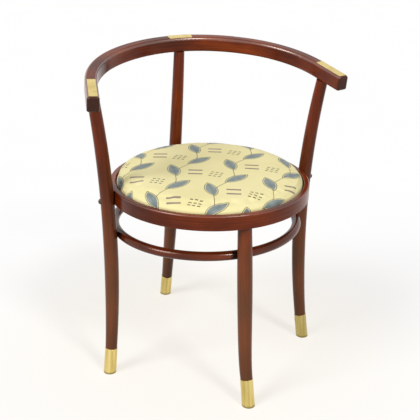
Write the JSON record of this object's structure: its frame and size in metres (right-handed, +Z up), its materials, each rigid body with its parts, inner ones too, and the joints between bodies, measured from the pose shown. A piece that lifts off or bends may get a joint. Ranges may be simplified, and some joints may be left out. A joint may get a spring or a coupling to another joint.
{
  "type": "bentwood armchair",
  "caption": "Bentwood armchair with a round drop-in seat, a tilted horseshoe arm rail, a stretcher hoop and brass-shod bent legs.",
  "frame": {"origin": "on the floor, midway between the front foot and the back foot", "axes": "+Z up, -Y the way the sitter faces, +X to the right as seen from the front"},
  "size_m": [0.6004, 0.6082, 0.739],
  "materials": {
    "stained_beech": "glossy red-brown stained and polished beech",
    "brass": "satin polished brass",
    "steel": "dark browned steel",
    "plywood": "raw plywood",
    "stuffing": "undyed fibre stuffing",
    "seat_fabric": "printed cotton in cream with grey-blue figures"
  },
  "bodies": {
    "frame": {"arm_rail": "stained_beech", "left_leg": "stained_beech", "right_leg": "stained_beech", "back_leg": "stained_beech", "front_leg": "stained_beech", "seat_ring": "stained_beech", "stretcher_hoop": "stained_beech", "left_sabot": "brass", "right_sabot": "brass", "back_sabot": "brass", "front_sabot": "brass", "left_rail_plate": "brass", "right_rail_plate": "brass", "back_rail_plate": "brass", "sabot_pins": "brass", "leg_bolts": "steel", "leg_bolt_washers": "steel", "leg_bolt_nuts": "steel", "hoop_screws": "steel"},
    "seat": {"seat_board": "plywood", "seat_padding": "stuffing", "seat_cover": "seat_fabric", "cover_tacks": "steel"}
  },
  "joints": [
    {"name": "seat_lift", "type": "slide", "parent": "frame", "child": "seat", "axis": [0, 0, 1], "range_m": [0, 0.05]}
  ]
}
